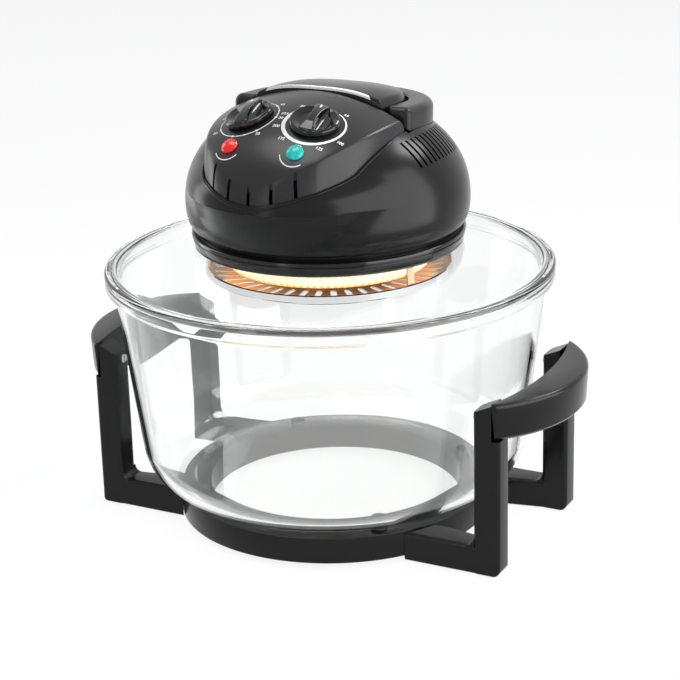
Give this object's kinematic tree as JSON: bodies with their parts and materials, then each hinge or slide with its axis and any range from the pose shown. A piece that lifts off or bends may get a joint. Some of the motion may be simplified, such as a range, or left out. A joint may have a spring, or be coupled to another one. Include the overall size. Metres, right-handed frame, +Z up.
{
  "type": "halogen oven",
  "caption": "Countertop halogen oven: a round glass bowl on a plug-together black stand with side grips, under a glass lid that carries a domed head with dials and a folding handle.",
  "frame": {"origin": "on the bowl's axis at table level, under the centre of the stand", "axes": "+Z up along the bowl's axis, -Y towards the side that the control panel faces, +X to the right seen from the front"},
  "size_m": [0.392, 0.33, 0.3256],
  "materials": {
    "stand_black": "satin",
    "screw_steel": "satin",
    "foot_rubber": "matte",
    "clear_glass": "gloss",
    "collar_black": "gloss",
    "shell_charcoal": "satin",
    "panel_charcoal": "satin",
    "handle_charcoal": "satin",
    "brow_silver": "satin",
    "lens_red": "gloss",
    "lens_teal": "gloss",
    "mechanism_grey": "matte",
    "pressed_steel": "satin",
    "reflector_bright": "polished",
    "guard_chrome": "polished",
    "lamp_glass": "gloss",
    "filament_glow": "matte",
    "ceramic_white": "matte",
    "motor_steel": "satin",
    "bush_bronze": "satin",
    "switch_black": "matte",
    "cutout_phenolic": "matte",
    "knob_black": "gloss",
    "plunger_nylon": "satin",
    "fan_black": "matte",
    "gland_rubber": "matte"
  },
  "bodies": {
    "stand": {"stand_ring": "stand_black", "leg_front_right": "stand_black", "leg_rear_right": "stand_black", "leg_front_left": "stand_black", "leg_rear_left": "stand_black", "grip_right": "stand_black", "grip_left": "stand_black", "leg_screws": "screw_steel", "grip_screws": "screw_steel", "stand_feet": "foot_rubber", "bowl_pads": "foot_rubber"},
    "bowl": {"glass_bowl": "clear_glass"},
    "head": {"glass_lid": "clear_glass", "lid_gasket": "foot_rubber", "collar": "collar_black", "head_shell": "shell_charcoal", "control_panel": "panel_charcoal", "crown_cover": "shell_charcoal", "trim_strip": "brow_silver", "power_lens": "lens_red", "heat_lens": "lens_teal", "timer_mechanism": "mechanism_grey", "thermostat": "pressed_steel", "heat_shield": "pressed_steel", "reflector": "reflector_bright", "guard_ring": "guard_chrome", "guard_grille": "guard_chrome", "guard_straps": "pressed_steel", "lamp_tube": "lamp_glass", "lamp_filament": "filament_glow", "lamp_ends": "ceramic_white", "lamp_clips": "pressed_steel", "motor_stator": "motor_steel", "motor_bracket": "pressed_steel", "motor_bushes": "bush_bronze", "safety_switch": "switch_black", "thermal_cutout": "cutout_phenolic", "terminal_block": "ceramic_white", "cord_gland": "gland_rubber", "handle_pins": "screw_steel", "head_screws": "screw_steel", "bracket_screws": "screw_steel"},
    "timer_dial": {"timer_knob": "knob_black", "timer_spindle": "screw_steel"},
    "temperature_dial": {"temperature_knob": "knob_black", "temperature_spindle": "screw_steel"},
    "handle": {"carry_handle": "handle_charcoal"},
    "plunger": {"switch_plunger": "plunger_nylon"},
    "fan": {"motor_shaft": "screw_steel", "motor_rotor": "motor_steel", "convection_fan": "pressed_steel", "cooling_fan": "fan_black"}
  },
  "joints": [
    {"name": "bowl_lift", "type": "slide", "parent": "stand", "child": "bowl", "axis": [0, 0, 1], "range_m": [0, 0.15]},
    {"name": "lid_lift", "type": "slide", "parent": "bowl", "child": "head", "axis": [0, 0, 1], "range_m": [0, 0.15]},
    {"name": "timer_turn", "type": "hinge", "parent": "head", "child": "timer_dial", "pos_m": [-0.0255, -0.0636, 0.31183], "axis": [-0.1765, -0.3096, 0.9343], "range_deg": [-300, 0]},
    {"name": "temperature_turn", "type": "hinge", "parent": "head", "child": "temperature_dial", "pos_m": [0.0255, -0.0636, 0.31183], "axis": [0.1765, -0.3096, 0.9343], "range_deg": [-270, 0]},
    {"name": "handle_fold", "type": "hinge", "parent": "head", "child": "handle", "pos_m": [0, 0.002, 0.304], "axis": [1, 0, 0], "range_deg": [0, 90]},
    {"name": "switch_press", "type": "slide", "parent": "head", "child": "plunger", "axis": [0, 0, 1], "range_m": [0, 0.003]},
    {"name": "fan_spin", "type": "hinge", "parent": "head", "child": "fan", "pos_m": [0, 0, 0.24], "axis": [0, 0, 1], "continuous": true}
  ],
  "couplings": [
    {"joint": "switch_press", "follows": "handle_fold", "m_per_rad": 0.0019}
  ]
}
